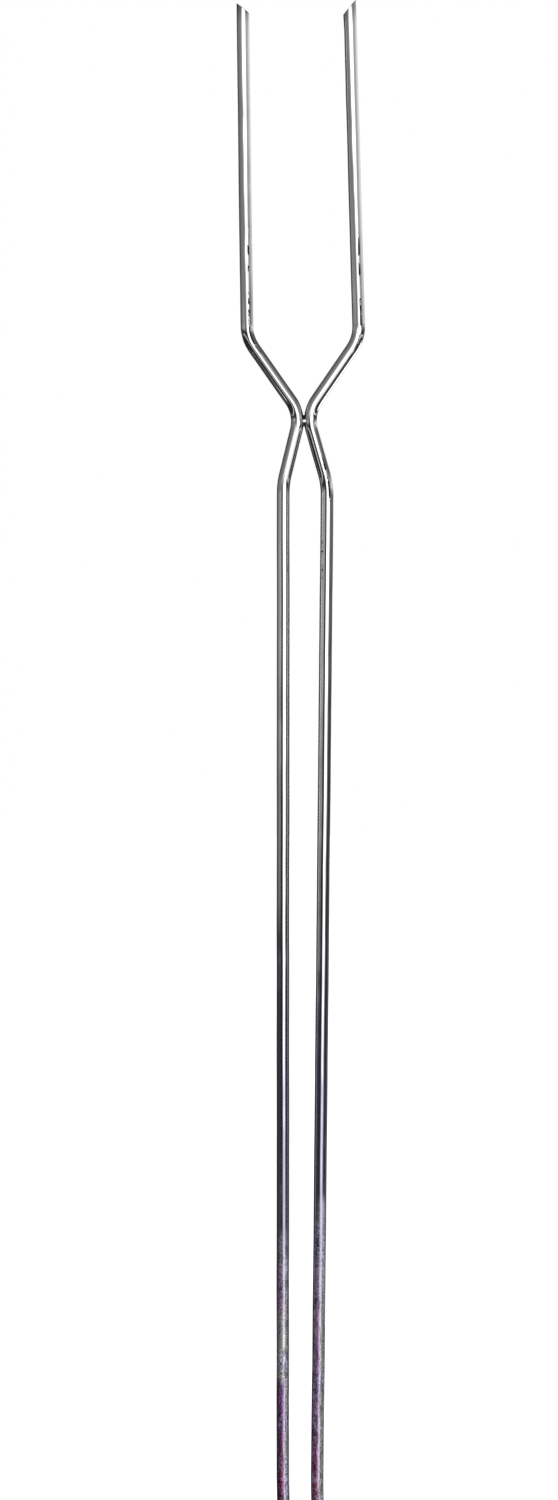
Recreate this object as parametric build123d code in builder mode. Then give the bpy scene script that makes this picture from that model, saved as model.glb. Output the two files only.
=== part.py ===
from build123d import *

import os

# Two-tine marshmallow roasting fork, in millimetres.
# Two steel wires are welded together at the neck and riveted into a turned wooden handle, which
# hangs from a swinging wire bail. +Z runs up the fork to the tine points, +X goes across the
# tines to the right-hand one, and +Y goes through the fork. The origin is the hanging point, where
# the inside of the bail's crown rests on a hook.

# Overall stack, from the hanging point up
BAIL_DROP = 28.0
PIVOT_TO_BUTT = 12.0
BUTT_TO_TIPS = 530.0

# Wires: each bend is a corner, given by its drop below the tips, half the gap between the two
# wires' centre lines, and the drift of their middle along +X, since the pair is bent by hand.
# The neck bend leaves the two wires a hair apart, bridged by the weld.
WIRE_R = 1.6
TIP_HALF_GAP = 13.35
TIP_DRIFT = -1.6
SHOULDER_DROP = 84.0
SHOULDER_HALF_GAP = 14.0
SHOULDER_DRIFT = 0.1
SHOULDER_BEND_R = 10.0
NECK_DROP = 102.9
NECK_HALF_GAP = 0.86
NECK_DRIFT = 0.25
NECK_BEND_R = 9.1
ELBOW_DROP = 120.4
ELBOW_HALF_GAP = 5.5
ELBOW_DRIFT = 0.65
ELBOW_BEND_R = 19.0
SHAFT_DROP = 370.0
SHAFT_HALF_GAP = 4.3
SHAFT_DRIFT = -0.65
SHAFT_BEND_R = 200.0
COLLAR_ABOVE_FERRULE = 4.0
COLLAR_HALF_GAP = 4.1
COLLAR_BEND_R = 200.0

# Points: each is ground to its own height above the nominal tips, and to its own slant
RIGHT_TIP_RISE = 0.6
RIGHT_BEVEL_ANGLE = 50.0
LEFT_TIP_RISE = -0.2
LEFT_BEVEL_ANGLE = 40.0

# Weld nugget between the wires, below the neck's corner where they come closest
WELD_X = 0.3
WELD_R = 1.2
WELD_HALF_HEIGHT = 1.45
WELD_BELOW_CORNER = 1.7

# Handle, as heights above its butt
BUTT_R = 11.4
BUTT_ROUNDING = 6.0
WAIST_R = 10.5
WAIST_H = 34.0
BELLY_R = 12.4
BELLY_H = 74.0
FRONT_R = 9.4
FRONT_H = 108.0
FRONT_TAPER = 0.35
SPIGOT_R = 8.2
SPIGOT_LENGTH = 20.0
SPIGOT_CHAMFER = 1.4
GROOVE_R = 0.55
GROOVE_HEIGHTS = (24.0, 97.0, 100.0)

# Wire ends, pressed flat, and their bores in the handle
BORE_R = 2.45
BORE_DEPTH = 66.0
TANG_WIDTH = 4.5
TANG_THICKNESS = 1.8
TANG_LENGTH = 42.0
TANG_BLEND = 6.0
TANG_INSET = 8.0

# Rivets through both tangs, with washers in spot faces on the wood
RIVET_HEIGHTS = (70.0, 90.0)
RIVET_R = 1.2
RIVET_HOLE_R = 1.25
RIVET_HEAD_R = 2.1
RIVET_HEAD_HEIGHT = 1.1
RIVET_HEAD_ROUNDING = 1.0
WASHER_R = 2.9
WASHER_THICKNESS = 0.6
SPOT_FACE_X = 10.9
SPOT_FACE_R = 3.0

# Ferrule, a drawn cup over the handle's front end
FERRULE_WALL = 0.7
NOSE_R = 2.0
WIRE_HOLE_R = 1.75
RING_R = 0.55
RING_ABOVE_MOUTH = 3.0

# Brads that pin the ferrule to the wood, front and back
BRAD_R = 0.7
BRAD_LENGTH = 6.0
BRAD_ABOVE_MOUTH = 8.0
BRAD_HEAD_R = 1.5
BRAD_HEAD_HEIGHT = 0.6
BRAD_HEAD_ROUNDING = 0.5

# Hanging bail, and the sleeve it turns in
BAIL_R = 1.1
BAIL_HALF_SPAN = 14.2
BAIL_CORNER_R = 2.2
BAIL_END_X = 6.5
SLEEVE_BORE_R = 1.15
SLEEVE_R = 1.8
SLEEVE_END_X = 11.5
FLARE_R = 2.7
FLARE_THICKNESS = 0.45
FLARE_ROUNDING = 0.18

# Heights that follow from the stack
PIVOT_Z = BAIL_DROP
BUTT_Z = PIVOT_Z - PIVOT_TO_BUTT
TIP_Z = BUTT_Z + BUTT_TO_TIPS
FRONT_Z = BUTT_Z + FRONT_H
SPIGOT_TOP_Z = FRONT_Z + SPIGOT_LENGTH
FERRULE_TOP_Z = SPIGOT_TOP_Z + FERRULE_WALL
FERRULE_R = SPIGOT_R + FERRULE_WALL
BRAD_Z = FRONT_Z + BRAD_ABOVE_MOUTH
TANG_TOP_Z = SPIGOT_TOP_Z - TANG_INSET
WELD_Z = TIP_Z - NECK_DROP - WELD_BELOW_CORNER
HEAD_SEAT_X = SPOT_FACE_X + WASHER_THICKNESS


def facing_side(height, distance=0.0):
    """A plane facing +X, on the fork's centre line at this height and this far along X."""
    return Plane(origin=(distance, 0, height), x_dir=(0, 1, 0), z_dir=(1, 0, 0))


def bent_wire(side, tip_rise, bevel_angle):
    """One wire, from its flat tang in the handle up to its bevelled point. Side is 1 or -1."""
    tip_x = TIP_DRIFT + side * TIP_HALF_GAP
    tip_z = TIP_Z + tip_rise
    with BuildPart() as wire:
        with BuildLine(Plane.XZ):
            FilletPolyline(
                (side * COLLAR_HALF_GAP, TANG_TOP_Z),
                (side * COLLAR_HALF_GAP, FERRULE_TOP_Z + COLLAR_ABOVE_FERRULE),
                (SHAFT_DRIFT + side * SHAFT_HALF_GAP, TIP_Z - SHAFT_DROP),
                (ELBOW_DRIFT + side * ELBOW_HALF_GAP, TIP_Z - ELBOW_DROP),
                (NECK_DRIFT + side * NECK_HALF_GAP, TIP_Z - NECK_DROP),
                (SHOULDER_DRIFT + side * SHOULDER_HALF_GAP, TIP_Z - SHOULDER_DROP),
                (tip_x, tip_z),
                radius=(COLLAR_BEND_R, SHAFT_BEND_R, ELBOW_BEND_R, NECK_BEND_R, SHOULDER_BEND_R),
            )
        tang_top = Plane(origin=(side * COLLAR_HALF_GAP, 0, TANG_TOP_Z))
        with BuildSketch(tang_top):
            Circle(WIRE_R)
        sweep()
        # The point is one slanting cut, highest on the outer side
        outer_edge = (tip_x + side * WIRE_R, 0, tip_z)
        bevel_normal = Vector(0, 0, 1).rotate(Axis.Y, -side * bevel_angle)
        split(bisect_by=Plane(origin=outer_edge, z_dir=bevel_normal), keep=Keep.BOTTOM)
        # The tang is pressed flat, thin across the fork, and drilled for the rivets
        with BuildSketch(tang_top):
            Circle(WIRE_R)
        with BuildSketch(tang_top.offset(-TANG_BLEND)):
            SlotOverall(TANG_WIDTH, TANG_THICKNESS, rotation=90)
        loft()
        extrude(wire.faces().sort_by(Axis.Z)[0], amount=TANG_LENGTH)
        for height in RIVET_HEIGHTS:
            with BuildSketch(facing_side(BUTT_Z + height)):
                Circle(RIVET_HOLE_R)
            extrude(amount=BELLY_R, both=True, mode=Mode.SUBTRACT)
    return wire


right_wire = bent_wire(1, RIGHT_TIP_RISE, RIGHT_BEVEL_ANGLE)
right_wire.part.label = "right_wire"

left_wire = bent_wire(-1, LEFT_TIP_RISE, LEFT_BEVEL_ANGLE)
left_wire.part.label = "left_wire"

# Neck weld, a small nugget fused into both wires where they touch
with BuildPart() as neck_weld:
    with BuildSketch(Plane.XZ):
        with Locations((WELD_X, WELD_Z)):
            Ellipse(WELD_R, WELD_HALF_HEIGHT)
        split(bisect_by=Plane.YZ.offset(WELD_X))
    revolve(axis=Axis((WELD_X, 0, WELD_Z), (0, 0, 1)))
neck_weld.part.label = "neck_weld"

# Handle, a turned swell with a rounded butt and a spigot for the ferrule
with BuildPart() as handle_grip:
    with BuildSketch(Plane.XZ):
        with BuildLine():
            butt = Line((0, BUTT_Z), (BUTT_R - BUTT_ROUNDING, BUTT_Z))
            rounding = JernArc(butt @ 1, butt % 1, BUTT_ROUNDING, 90)
            swell = Spline(
                rounding @ 1,
                (WAIST_R, BUTT_Z + WAIST_H),
                (BELLY_R, BUTT_Z + BELLY_H),
                (FRONT_R, FRONT_Z),
                tangents=[rounding % 1, (-FRONT_TAPER, 1)],
            )
            Polyline(
                swell @ 1,
                (SPIGOT_R, FRONT_Z),
                (SPIGOT_R, SPIGOT_TOP_Z - SPIGOT_CHAMFER),
                (SPIGOT_R - SPIGOT_CHAMFER, SPIGOT_TOP_Z),
                (0, SPIGOT_TOP_Z),
                butt @ 0,
            )
        make_face()
        # Turned rings are shallow half-round grooves
        for height in GROOVE_HEIGHTS:
            level = Axis((0, BUTT_Z + height, 0), (1, 0, 0))
            with Locations(swell.intersect(level).vertex()):
                Circle(GROOVE_R, mode=Mode.SUBTRACT)
    revolve(axis=Axis.Z)
    # Bores for the two wires
    with BuildSketch(Plane.XY.offset(SPIGOT_TOP_Z)):
        with Locations((COLLAR_HALF_GAP, 0), (-COLLAR_HALF_GAP, 0)):
            Circle(BORE_R)
    extrude(amount=-BORE_DEPTH, mode=Mode.SUBTRACT)
    # Rivet holes, and the cross hole for the bail's sleeve
    for height in RIVET_HEIGHTS:
        with BuildSketch(facing_side(BUTT_Z + height)):
            Circle(RIVET_HOLE_R)
        extrude(amount=BELLY_R, both=True, mode=Mode.SUBTRACT)
    with BuildSketch(facing_side(PIVOT_Z)):
        Circle(SLEEVE_R)
    extrude(amount=BELLY_R, both=True, mode=Mode.SUBTRACT)
    # On each side, spot faces for the washers and a seat for the sleeve's flare
    for side in (1, -1):
        for height in RIVET_HEIGHTS:
            with BuildSketch(facing_side(BUTT_Z + height, side * SPOT_FACE_X)):
                Circle(SPOT_FACE_R)
            extrude(amount=side * BELLY_R, mode=Mode.SUBTRACT)
        with BuildSketch(facing_side(PIVOT_Z, side * (SLEEVE_END_X - FLARE_THICKNESS))):
            Circle(FLARE_R)
        extrude(amount=side * BELLY_R, mode=Mode.SUBTRACT)
    # Brad holes, front and back
    for side in (1, -1):
        with BuildSketch(Plane.XZ.offset(side * (SPIGOT_R - BRAD_LENGTH))):
            with Locations((0, BRAD_Z)):
                Circle(BRAD_R)
        extrude(amount=side * BRAD_LENGTH, mode=Mode.SUBTRACT)
handle_grip.part.label = "handle_grip"

# Ferrule, a thin cup with a rounded nose, a raised ring and holes for the wires and brads
with BuildPart() as ferrule:
    with BuildSketch(Plane.XY.offset(FRONT_Z)):
        Circle(FERRULE_R)
    extrude(amount=FERRULE_TOP_Z - FRONT_Z)
    fillet(ferrule.faces().sort_by(Axis.Z)[-1].edges(), NOSE_R)
    offset(amount=-FERRULE_WALL, openings=ferrule.faces().sort_by(Axis.Z)[0])
    with BuildSketch(Plane.XZ):
        with Locations((FERRULE_R, FRONT_Z + RING_ABOVE_MOUTH)):
            Circle(RING_R)
    revolve(axis=Axis.Z)
    with BuildSketch(Plane.XY.offset(SPIGOT_TOP_Z)):
        with Locations((COLLAR_HALF_GAP, 0), (-COLLAR_HALF_GAP, 0)):
            Circle(WIRE_HOLE_R)
    extrude(amount=FERRULE_WALL, mode=Mode.SUBTRACT)
    with BuildSketch(Plane.XZ):
        with Locations((0, BRAD_Z)):
            Circle(BRAD_R)
    extrude(amount=FERRULE_R, both=True, mode=Mode.SUBTRACT)
ferrule.part.label = "ferrule"

# Ferrule brads, short nails with low domed heads
with BuildPart() as ferrule_brads:
    with BuildSketch(Plane.XZ.offset(SPIGOT_R - BRAD_LENGTH)):
        with Locations((0, BRAD_Z)):
            Circle(BRAD_R)
    extrude(amount=BRAD_LENGTH + FERRULE_WALL)
    with BuildSketch(Plane.XZ.offset(FERRULE_R)):
        with Locations((0, BRAD_Z)):
            Circle(BRAD_HEAD_R)
    extrude(amount=BRAD_HEAD_HEIGHT)
    fillet(ferrule_brads.faces().sort_by(Axis.Y)[0].edges(), BRAD_HEAD_ROUNDING)
    mirror(about=Plane.XZ)
ferrule_brads.part.label = "ferrule_brads"

# Rivet washers, seated in the handle's spot faces
with BuildPart() as rivet_washers:
    for height in RIVET_HEIGHTS:
        with BuildSketch(facing_side(BUTT_Z + height, SPOT_FACE_X)):
            Circle(WASHER_R)
            Circle(RIVET_HOLE_R, mode=Mode.SUBTRACT)
        extrude(amount=WASHER_THICKNESS)
    mirror(about=Plane.YZ)
rivet_washers.part.label = "rivet_washers"

# Tang rivets, straight shanks with a domed head at each end
with BuildPart() as tang_rivets:
    for height in RIVET_HEIGHTS:
        with BuildSketch(facing_side(BUTT_Z + height)):
            Circle(RIVET_R)
        extrude(amount=HEAD_SEAT_X)
        with BuildSketch(facing_side(BUTT_Z + height, HEAD_SEAT_X)):
            Circle(RIVET_HEAD_R)
        extrude(amount=RIVET_HEAD_HEIGHT)
    fillet(tang_rivets.faces().group_by(Axis.X)[-1].edges(), RIVET_HEAD_ROUNDING)
    mirror(about=Plane.YZ)
tang_rivets.part.label = "tang_rivets"

# Bail sleeve, a tube through the butt, flared at both ends
with BuildPart() as bail_sleeve:
    with BuildSketch(facing_side(PIVOT_Z)):
        Circle(SLEEVE_R)
    extrude(amount=SLEEVE_END_X, both=True)
    for side in (1, -1):
        with BuildSketch(facing_side(PIVOT_Z, side * (SLEEVE_END_X - FLARE_THICKNESS))):
            Circle(FLARE_R)
        extrude(amount=side * FLARE_THICKNESS)
    with BuildSketch(facing_side(PIVOT_Z)):
        Circle(SLEEVE_BORE_R)
    extrude(amount=SLEEVE_END_X, both=True, mode=Mode.SUBTRACT)
    end_faces = bail_sleeve.faces().filter_by(Axis.X).sort_by(Axis.X)
    fillet((end_faces[0] + end_faces[-1]).edges(), FLARE_ROUNDING)
bail_sleeve.part.label = "bail_sleeve"

# Hanging bail, a wire loop whose turned-in ends sit in the sleeve
with BuildPart() as hang_bail:
    with BuildLine(Plane.XZ):
        turned_end = Line((BAIL_END_X, PIVOT_Z), (BAIL_HALF_SPAN - BAIL_CORNER_R, PIVOT_Z))
        corner = JernArc(turned_end @ 1, turned_end % 1, BAIL_CORNER_R, -90)
        leg = Line(corner @ 1, (BAIL_HALF_SPAN, BAIL_HALF_SPAN - BAIL_R))
        JernArc(leg @ 1, leg % 1, BAIL_HALF_SPAN, -90)
        mirror(about=Plane.YZ)
    with BuildSketch(facing_side(PIVOT_Z, BAIL_END_X)):
        Circle(BAIL_R)
    sweep()
hang_bail.part.label = "hang_bail"

os.makedirs("parts", exist_ok=True)
pieces = (
    right_wire,
    left_wire,
    neck_weld,
    handle_grip,
    ferrule,
    ferrule_brads,
    rivet_washers,
    tang_rivets,
    bail_sleeve,
    hang_bail,
)
for piece in pieces:
    export_step(piece.part, f"parts/{piece.part.label}.step")
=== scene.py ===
import math

import bmesh
import bpy
from mathutils import Matrix, Vector, noise


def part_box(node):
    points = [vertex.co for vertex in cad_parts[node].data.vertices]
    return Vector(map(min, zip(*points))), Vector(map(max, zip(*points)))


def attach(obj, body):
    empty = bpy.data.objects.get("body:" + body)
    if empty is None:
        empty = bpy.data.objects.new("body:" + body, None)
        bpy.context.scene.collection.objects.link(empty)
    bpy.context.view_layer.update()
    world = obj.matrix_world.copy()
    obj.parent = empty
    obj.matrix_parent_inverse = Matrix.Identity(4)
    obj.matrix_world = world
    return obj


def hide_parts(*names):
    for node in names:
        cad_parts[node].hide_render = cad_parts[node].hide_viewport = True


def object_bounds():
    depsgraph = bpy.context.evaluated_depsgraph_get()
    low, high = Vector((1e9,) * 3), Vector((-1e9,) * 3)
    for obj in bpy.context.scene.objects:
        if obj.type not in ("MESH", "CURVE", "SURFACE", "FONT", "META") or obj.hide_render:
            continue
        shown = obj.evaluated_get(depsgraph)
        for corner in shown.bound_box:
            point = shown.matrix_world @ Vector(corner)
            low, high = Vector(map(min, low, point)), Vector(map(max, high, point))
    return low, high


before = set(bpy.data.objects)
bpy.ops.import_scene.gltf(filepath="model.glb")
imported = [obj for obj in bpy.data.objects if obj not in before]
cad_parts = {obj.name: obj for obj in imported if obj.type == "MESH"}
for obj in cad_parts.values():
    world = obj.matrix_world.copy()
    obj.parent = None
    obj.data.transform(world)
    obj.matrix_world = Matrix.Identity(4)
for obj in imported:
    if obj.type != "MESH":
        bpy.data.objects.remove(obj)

# Two-tine marshmallow roasting fork, in metres. +Z runs up to the tine points, +X to the right tine,
# and +Y away from the camera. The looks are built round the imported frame: each CAD node is replaced
# by a finely meshed piece of the same size and place.
MM = 0.001
cad_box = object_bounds()

# Places that come from the frame
WIRE_LOW, WIRE_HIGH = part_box("right_wire")
GRIP_LOW, GRIP_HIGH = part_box("handle_grip")
FERRULE_LOW, FERRULE_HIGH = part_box("ferrule")
WASHER_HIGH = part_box("rivet_washers")[1]
RIVET_LOW, RIVET_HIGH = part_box("tang_rivets")
BRAD_LOW, BRAD_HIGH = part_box("ferrule_brads")
SLEEVE_LOW, SLEEVE_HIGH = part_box("bail_sleeve")
BAIL_LOW, BAIL_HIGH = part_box("hang_bail")

# Points, as (height above the nominal tips, slant of the bevel), right and left. The bevel fades out
# over this many wire radii.
TIPS = {1: (0.6 * MM, math.radians(50)), -1: (-0.2 * MM, math.radians(40))}
BEVEL_BLEND = 4

# Wires: each bend is a corner, given by its drop below the tips, half the gap between the two
# wires' centre lines, and the drift of their middle to the right
WIRE_R = 1.6 * MM
TIP_Z = WIRE_HIGH.z - TIPS[1][0]
TIP_HALF_GAP = 13.35 * MM
TIP_DRIFT = -1.6 * MM
SHOULDER_DROP = 84.0 * MM
SHOULDER_HALF_GAP = 14.0 * MM
SHOULDER_DRIFT = 0.1 * MM
SHOULDER_BEND_R = 10.0 * MM
NECK_DROP = 102.9 * MM
NECK_HALF_GAP = 0.86 * MM
NECK_DRIFT = 0.25 * MM
NECK_BEND_R = 9.1 * MM
ELBOW_DROP = 120.4 * MM
ELBOW_HALF_GAP = 5.5 * MM
ELBOW_DRIFT = 0.65 * MM
ELBOW_BEND_R = 19.0 * MM
SHAFT_DROP = 370.0 * MM
SHAFT_HALF_GAP = 4.3 * MM
SHAFT_DRIFT = -0.65 * MM
SHAFT_BEND_R = 200.0 * MM
COLLAR_ABOVE_FERRULE = 4.0 * MM
COLLAR_HALF_GAP = 4.1 * MM
COLLAR_BEND_R = 200.0 * MM

# The wires' flattened ends inside the handle
TANG_TOP_Z = GRIP_HIGH.z - 8.0 * MM
TANG_BLEND = 6.0 * MM
TANG_WIDTH = 4.5 * MM
TANG_THICKNESS = 1.8 * MM

# How finely the wires are meshed, the small waves that hand bending leaves, and their rounded ends
WIRE_STEP = 0.8 * MM
WIRE_SIDES = 48
WIRE_WOBBLE = 0.05 * MM
LONG_WAVE = 18.0 * MM
SHORT_WAVE = 6.0 * MM
SHORT_WAVE_SHARE = 0.35
POINT_ROUNDING = 0.12 * MM
WIRE_END_ROUNDING = 0.1 * MM

# Weld nugget
WELD_X = 0.3 * MM
WELD_R = 1.2 * MM
WELD_HALF_HEIGHT = 1.45 * MM
WELD_BELOW_NECK = 1.7 * MM
WELD_Z = TIP_Z - NECK_DROP - WELD_BELOW_NECK

# Handle, as radii and heights above its butt
BUTT_Z = GRIP_LOW.z
BUTT_R = 11.4 * MM
BUTT_ROUNDING = 6.0 * MM
WAIST_R = 10.5 * MM
WAIST_H = 34.0 * MM
BELLY_R = 12.4 * MM
BELLY_H = 74.0 * MM
FRONT_R = 9.4 * MM
FRONT_TAPER = 0.35
FRONT_H = FERRULE_LOW.z - BUTT_Z
SPIGOT_R = 8.2 * MM
SPIGOT_CHAMFER = 1.4 * MM
GROOVE_R = 0.55 * MM
GROOVE_HEIGHTS = (24.0 * MM, 97.0 * MM, 100.0 * MM)
BORE_R = 2.45 * MM
BORE_DEPTH = 66.0 * MM

# Fastenings
RIVET_R = 1.2 * MM
RIVET_HEAD_R = 2.1 * MM
RIVET_HEAD_HEIGHT = 1.1 * MM
RIVET_HEAD_ROUNDING = 1.0 * MM
RIVET_HEIGHTS = (RIVET_LOW.z + RIVET_HEAD_R, RIVET_HIGH.z - RIVET_HEAD_R)
WASHER_R = 2.9 * MM
WASHER_THICKNESS = 0.6 * MM
WASHER_HOLE_R = RIVET_R + 0.05 * MM
WASHER_EDGE_R = 0.12 * MM
SPOT_FACE_X = WASHER_HIGH.x - WASHER_THICKNESS
SPOT_FACE_R = 3.0 * MM
FERRULE_R = FERRULE_HIGH.x
FERRULE_WALL = 0.7 * MM
FERRULE_NOSE_R = 2.0 * MM
FERRULE_LIP_R = 0.25 * MM
FERRULE_SEGMENTS = 128
WIRE_HOLE_R = 1.75 * MM
RING_R = 0.55 * MM
RING_ABOVE_MOUTH = 3.0 * MM
BRAD_R = 0.7 * MM
BRAD_HEAD_R = 1.5 * MM
BRAD_HEAD_HEIGHT = 0.6 * MM
BRAD_HEAD_ROUNDING = 0.5 * MM
BRAD_DEPTH = 5.0 * MM
BRAD_POINT = 1.0 * MM
BRAD_Z = (BRAD_LOW.z + BRAD_HIGH.z) / 2

# Bail and its sleeve
PIVOT_Z = (SLEEVE_LOW.z + SLEEVE_HIGH.z) / 2
SLEEVE_END_X = SLEEVE_HIGH.x
SLEEVE_R = 1.8 * MM
SLEEVE_BORE_R = 1.15 * MM
FLARE_R = 2.7 * MM
FLARE_THICKNESS = 0.45 * MM
FLARE_EDGE_R = 0.16 * MM
BAIL_R = 1.1 * MM
BAIL_HALF_SPAN = BAIL_HIGH.x - BAIL_R
BAIL_CORNER_R = 2.2 * MM
BAIL_END_X = 6.5 * MM
BAIL_STEP = 0.4 * MM
BAIL_SIDES = 40


# ---------------------------------------------------------------------------------------------
# Mesh helpers
# ---------------------------------------------------------------------------------------------

SHARP_ANGLE = math.radians(35)
SAME_PLACE = 0.0001 * MM


def add_piece(name, vertices, faces, material, body, node):
    """A smooth-shaded mesh piece that rides on a body and stands for a CAD node."""
    mesh = bpy.data.meshes.new(name)
    mesh.from_pydata([tuple(v) for v in vertices], [], faces)
    mesh.materials.append(material)
    piece = bpy.data.objects.new(name, mesh)
    bpy.context.scene.collection.objects.link(piece)
    finish_mesh(mesh)
    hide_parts(node)
    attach(piece, body)
    return piece


def finish_mesh(mesh):
    """Outward normals, smooth shading, and hard edges where faces meet at a steep angle."""
    work = bmesh.new()
    work.from_mesh(mesh)
    bmesh.ops.remove_doubles(work, verts=work.verts, dist=SAME_PLACE)
    bmesh.ops.recalc_face_normals(work, faces=work.faces)
    work.to_mesh(mesh)
    work.free()
    mesh.shade_smooth()
    mesh.set_sharp_from_angle(angle=SHARP_ANGLE)


def rough_noise(point, size):
    """Smooth noise from -1 to 1 whose bumps are about this size."""
    return noise.noise(Vector(point) / size)


def lathe(profile, segments, axis="Z", centre=(0, 0, 0), dent=None):
    """Turns (radius, height) points round an axis. A radius of 0 closes an end, and a profile
    whose first and last points are the same closes as a ring. dent(point) moves the radius."""
    place = {
        "X": lambda a, b, h: (h, a, b),
        "Y": lambda a, b, h: (b, h, a),
        "Z": lambda a, b, h: (a, b, h),
    }[axis]
    ring = profile[0] == profile[-1]
    rows = profile[:-1] if ring else profile
    vertices, row_of = [], []
    for radius, height in rows:
        if radius == 0:
            row_of.append([len(vertices)] * segments)
            vertices.append(Vector(centre) + Vector(place(0, 0, height)))
            continue
        row_of.append(range(len(vertices), len(vertices) + segments))
        for step in range(segments):
            angle = 2 * math.pi * step / segments
            point = Vector(place(radius * math.cos(angle), radius * math.sin(angle), height))
            if dent:
                grown = radius + dent(point)
                point = Vector(place(grown * math.cos(angle), grown * math.sin(angle), height))
            vertices.append(Vector(centre) + point)
    faces = []
    pairs = list(zip(row_of, row_of[1:])) + ([(row_of[-1], row_of[0])] if ring else [])
    for low, high in pairs:
        for step in range(segments):
            after = (step + 1) % segments
            face = [low[step], low[after], high[after], high[step]]
            faces.append(tuple(dict.fromkeys(face)))
    return vertices, faces


def arc(centre, radius, start, end, steps):
    """Points on an arc in the (radius, height) plane, from start to end in degrees."""
    points = []
    for step in range(steps + 1):
        angle = math.radians(start + (end - start) * step / steps)
        points.append((centre[0] + radius * math.cos(angle), centre[1] + radius * math.sin(angle)))
    return points


def bent_path(corners, radii, step):
    """Points along straight runs joined by round bends, with the direction at each point.
    Corners are (x, z), and there is one radius for each corner but the first and last."""
    places = [Vector((x, z)) for x, z in corners]
    path = []

    def run(start, end):
        count = max(1, round((end - start).length / step))
        direction = (end - start).normalized()
        path.extend((start.lerp(end, i / count), direction) for i in range(count + 1))

    here = places[0]
    for before, corner, after, radius in zip(places, places[1:], places[2:], radii):
        inward, outward = (corner - before).normalized(), (after - corner).normalized()
        turn = inward.angle_signed(outward)
        reach = radius * math.tan(abs(turn) / 2)
        start = corner - inward * reach
        if (start - here).length > step / 10:
            run(here, start)
        side = Vector((inward.y, -inward.x)) * math.copysign(1, turn)
        centre = start + side * radius
        count = max(8, round(abs(turn) * radius / step))
        for i in range(count + 1):
            swing = Matrix.Rotation(-turn * i / count, 2)
            path.append((centre + swing @ (start - centre), swing @ inward))
        here = corner + outward * reach
    if (places[-1] - here).length > step / 10:
        run(here, places[-1])
    kept = [path[0]]
    for point, direction in path[1:]:
        if (point - kept[-1][0]).length > step / 10:
            kept.append((point, direction))
    return kept


def sweep_wire(path, radius, sides, section=None, wobble=0.0, seed=0):
    """Rings of vertices along a path in the XZ plane. section(x, y, point) reshapes a ring's offsets,
    and wobble moves each ring a little, as hand-bent wire does. Also returns each vertex's place on
    the wire laid out straight, for streaks that follow its length."""
    vertices, straight, faces, length = [], [], [], 0.0
    for index, (point, direction) in enumerate(path):
        if index:
            length += (point - path[index - 1][0]).length
        across = Vector((direction.y, 0, -direction.x))
        drift = Vector((0, 0, 0))
        for way in (0, 1):
            drift[way] = wobble * (
                rough_noise((length, seed + way, 0), LONG_WAVE)
                + SHORT_WAVE_SHARE * rough_noise((length, seed + way, 5), SHORT_WAVE)
            )
        centre = Vector((point.x, 0, point.y)) + across * drift[0] + Vector((0, drift[1], 0))
        for step in range(sides):
            angle = 2 * math.pi * step / sides
            a, b = radius * math.cos(angle), radius * math.sin(angle)
            straight.append((a, b, length + seed))
            if section:
                a, b = section(a, b, point)
            vertices.append(centre + across * a + Vector((0, b, 0)))
    for ring in range(len(path) - 1):
        for step in range(sides):
            after = (step + 1) % sides
            low, high = ring * sides, (ring + 1) * sides
            faces.append((low + step, low + after, high + after, high + step))
    return vertices, faces, straight


def close_end(vertices, faces, straight, ring_start, sides, rounding, outward):
    """Caps a wire's end: a narrow rounded rim, in two steps, then a flat face."""
    flatness = 0.6
    ring = [vertices[ring_start + i] for i in range(sides)]
    centre = sum(ring, Vector()) / sides
    last = list(range(ring_start, ring_start + sides))
    for share in (0.45, 1.0):
        row = []
        for i, corner in enumerate(ring):
            inward = (centre - corner).normalized() * rounding * share
            lift = outward * rounding * math.sin(share * math.pi / 2) * flatness
            row.append(len(vertices))
            vertices.append(corner + inward + lift)
            straight.append(straight[ring_start + i])
        for i in range(sides):
            after = (i + 1) % sides
            faces.append((last[i], last[after], row[after], row[i]))
        last = row
    faces.append(tuple(last))


def store_straight(piece, straight):
    """Keeps the laid-out place of each vertex as a mesh attribute, which the material reads."""
    layer = piece.data.attributes.new("straight", "FLOAT_VECTOR", "POINT")
    for item, place in zip(layer.data, straight):
        item.vector = place


def cut(piece, cutters):
    """Cuts closed shapes out of a piece. Each cutter is (vertices, faces)."""
    vertices, faces = [], []
    for cutter_vertices, cutter_faces in cutters:
        base = len(vertices)
        vertices.extend(cutter_vertices)
        faces.extend(tuple(base + i for i in face) for face in cutter_faces)
    mesh = bpy.data.meshes.new("cutter")
    mesh.from_pydata([tuple(v) for v in vertices], [], faces)
    finish_mesh(mesh)
    tool = bpy.data.objects.new("cutter", mesh)
    bpy.context.scene.collection.objects.link(tool)
    change = piece.modifiers.new("cut", "BOOLEAN")
    change.operation, change.solver, change.object = "DIFFERENCE", "EXACT", tool
    change.use_self = False
    bpy.context.view_layer.update()
    graph = bpy.context.evaluated_depsgraph_get()
    result = bpy.data.meshes.new_from_object(piece.evaluated_get(graph))
    piece.modifiers.clear()
    old = piece.data
    result.name = old.name + "_cut"
    piece.data = result
    bpy.data.meshes.remove(old)
    bpy.data.objects.remove(tool)
    bpy.data.meshes.remove(mesh)
    finish_mesh(result)


def rod(radius, start, end, axis, centre):
    """A closed cylinder, for cutting holes."""
    return lathe([(0, start), (radius, start), (radius, end), (0, end)], 48, axis, centre)


# ---------------------------------------------------------------------------------------------
# Shader helpers
# ---------------------------------------------------------------------------------------------

def feed(tree, socket, value):
    """Links a socket to a socket, or sets its value."""
    if isinstance(value, bpy.types.NodeSocket):
        tree.links.new(value, socket)
    elif socket.type == "RGBA" and len(value) == 3:
        socket.default_value = (*value, 1)
    else:
        socket.default_value = value


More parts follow.
